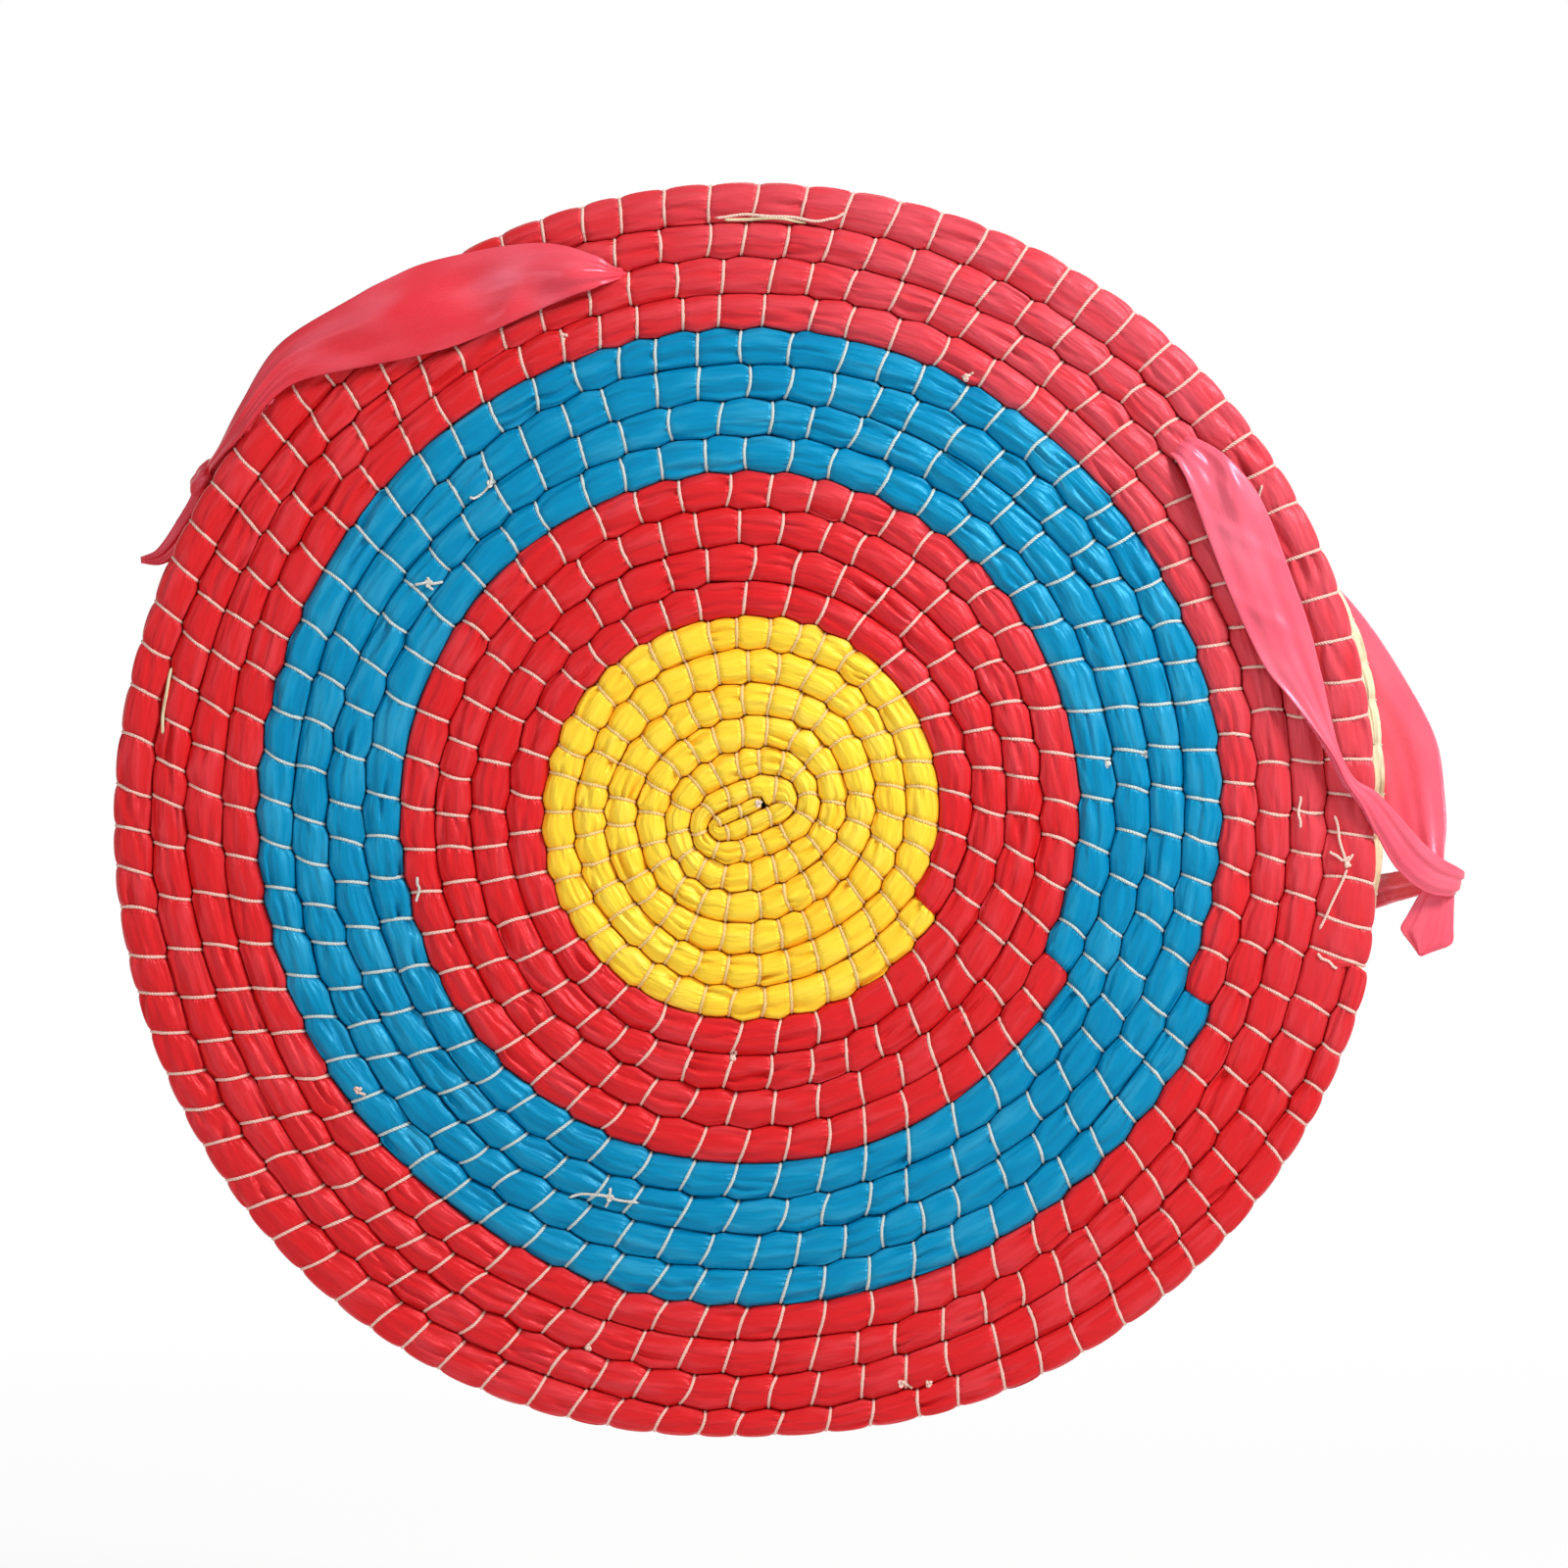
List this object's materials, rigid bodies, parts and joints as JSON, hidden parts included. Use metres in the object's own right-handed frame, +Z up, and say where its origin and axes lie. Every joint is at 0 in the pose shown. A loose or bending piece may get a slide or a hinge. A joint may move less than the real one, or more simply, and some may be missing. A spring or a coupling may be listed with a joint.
{
  "type": "archery target boss",
  "caption": "Round upright boss of sewn straw rope with coloured scoring rings on its face and two ribbon loops tied over its rim.",
  "frame": {"origin": "on the flat back face, behind the middle of the boss", "axes": "+Z up, -Y out of the coloured face, +Y out of the flat back, +X to the right seen from the front"},
  "size_m": [0.5357, 0.0523, 0.4949],
  "materials": {
    "yellow_cloth": "satin cloth sewn round straw",
    "red_cloth": "satin cloth sewn round straw",
    "blue_cloth": "satin cloth sewn round straw",
    "straw": "bare pale straw rope",
    "ribbon": "satin ribbon",
    "twine": "cream cotton twine"
  },
  "bodies": {
    "boss": {"yellow_rope": "yellow_cloth", "inner_red_rope": "red_cloth", "blue_rope": "blue_cloth", "outer_red_rope": "red_cloth", "straw_back_coil": "straw"},
    "left_loop": {"left_ribbon": "ribbon"},
    "right_loop": {"right_ribbon": "ribbon"}
  },
  "joints": [
    {"name": "left_loop_swing", "type": "hinge", "parent": "boss", "child": "left_loop", "pos_m": [-0.05186, -0.02215, 0.21306], "axis": [0, -1, 0], "range_deg": [-115, 0]},
    {"name": "right_loop_swing", "type": "hinge", "parent": "boss", "child": "right_loop", "pos_m": [0.16839, -0.02215, 0.13868], "axis": [0, -1, 0], "range_deg": [0, 147]}
  ]
}
